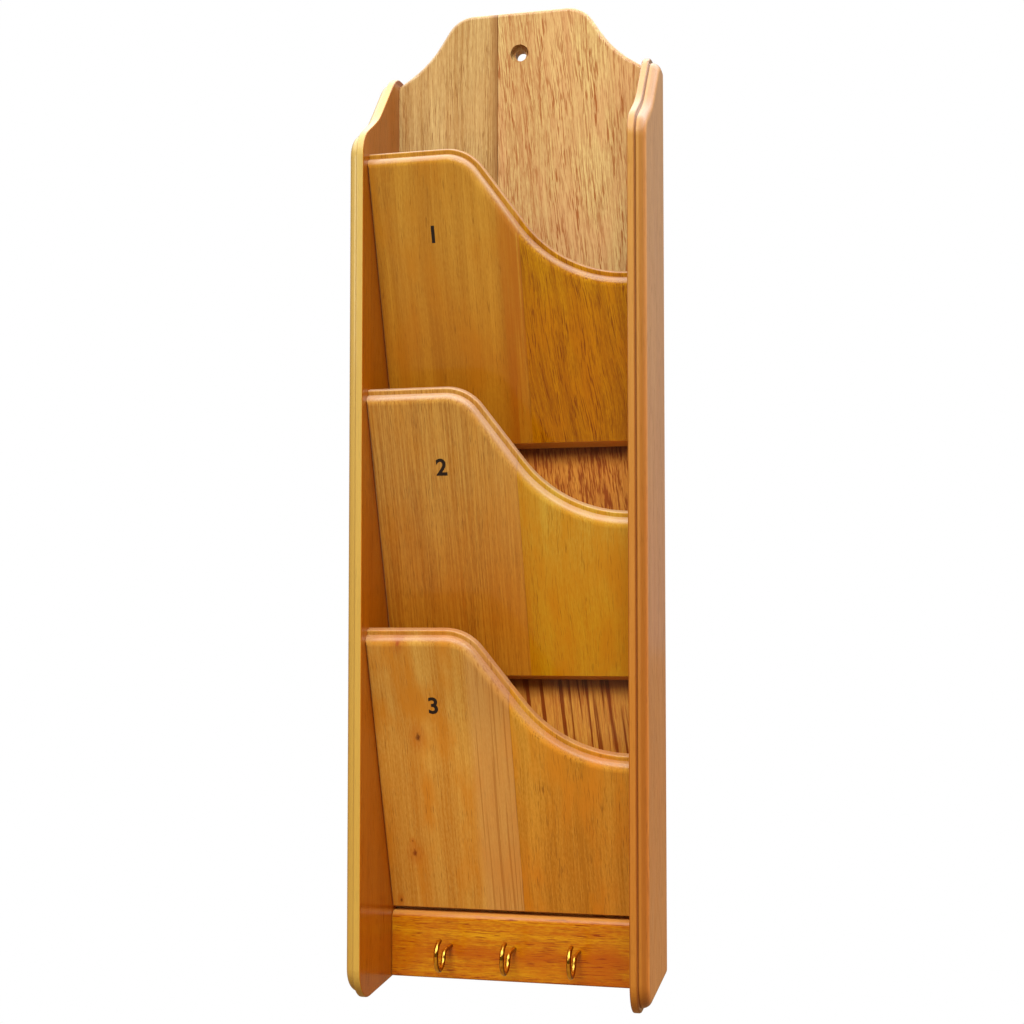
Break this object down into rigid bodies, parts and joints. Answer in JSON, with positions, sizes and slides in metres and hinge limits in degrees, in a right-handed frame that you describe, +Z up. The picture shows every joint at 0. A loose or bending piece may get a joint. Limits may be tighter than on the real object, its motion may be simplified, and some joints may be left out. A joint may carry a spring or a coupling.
{
  "type": "letter rack",
  "caption": "Tall wall-hung wooden letter rack: leaning pocket fronts that dip to one side between shaped sides, a crowned back with a hanging hole, and a rail of brass key hooks.",
  "frame": {"origin": "on the axis of the hanging hole, in the plane of the wall", "axes": "+Z up the wall, +X to the right as the rack is faced, -Y out of the wall towards the room"},
  "size_m": [0.154, 0.07, 0.5224],
  "materials": {
    "lacquered_wood": "honey-coloured hardwood under clear satin lacquer",
    "dowel_wood": "bare turned dowel",
    "hook_brass": "bright plated brass"
  },
  "bodies": {
    "root": {"back_left_board": "lacquered_wood", "back_right_board": "lacquered_wood", "left_side": "lacquered_wood", "right_side": "lacquered_wood", "hook_rail": "lacquered_wood", "lower_front_left_board": "lacquered_wood", "lower_front_right_board": "lacquered_wood", "middle_front_left_board": "lacquered_wood", "middle_front_right_board": "lacquered_wood", "upper_front_left_board": "lacquered_wood", "upper_front_right_board": "lacquered_wood", "back_dowels": "dowel_wood", "rail_dowels": "dowel_wood", "lower_front_dowels": "dowel_wood", "middle_front_dowels": "dowel_wood", "upper_front_dowels": "dowel_wood", "left_hook": "hook_brass", "middle_hook": "hook_brass", "right_hook": "hook_brass"}
  },
  "joints": []
}
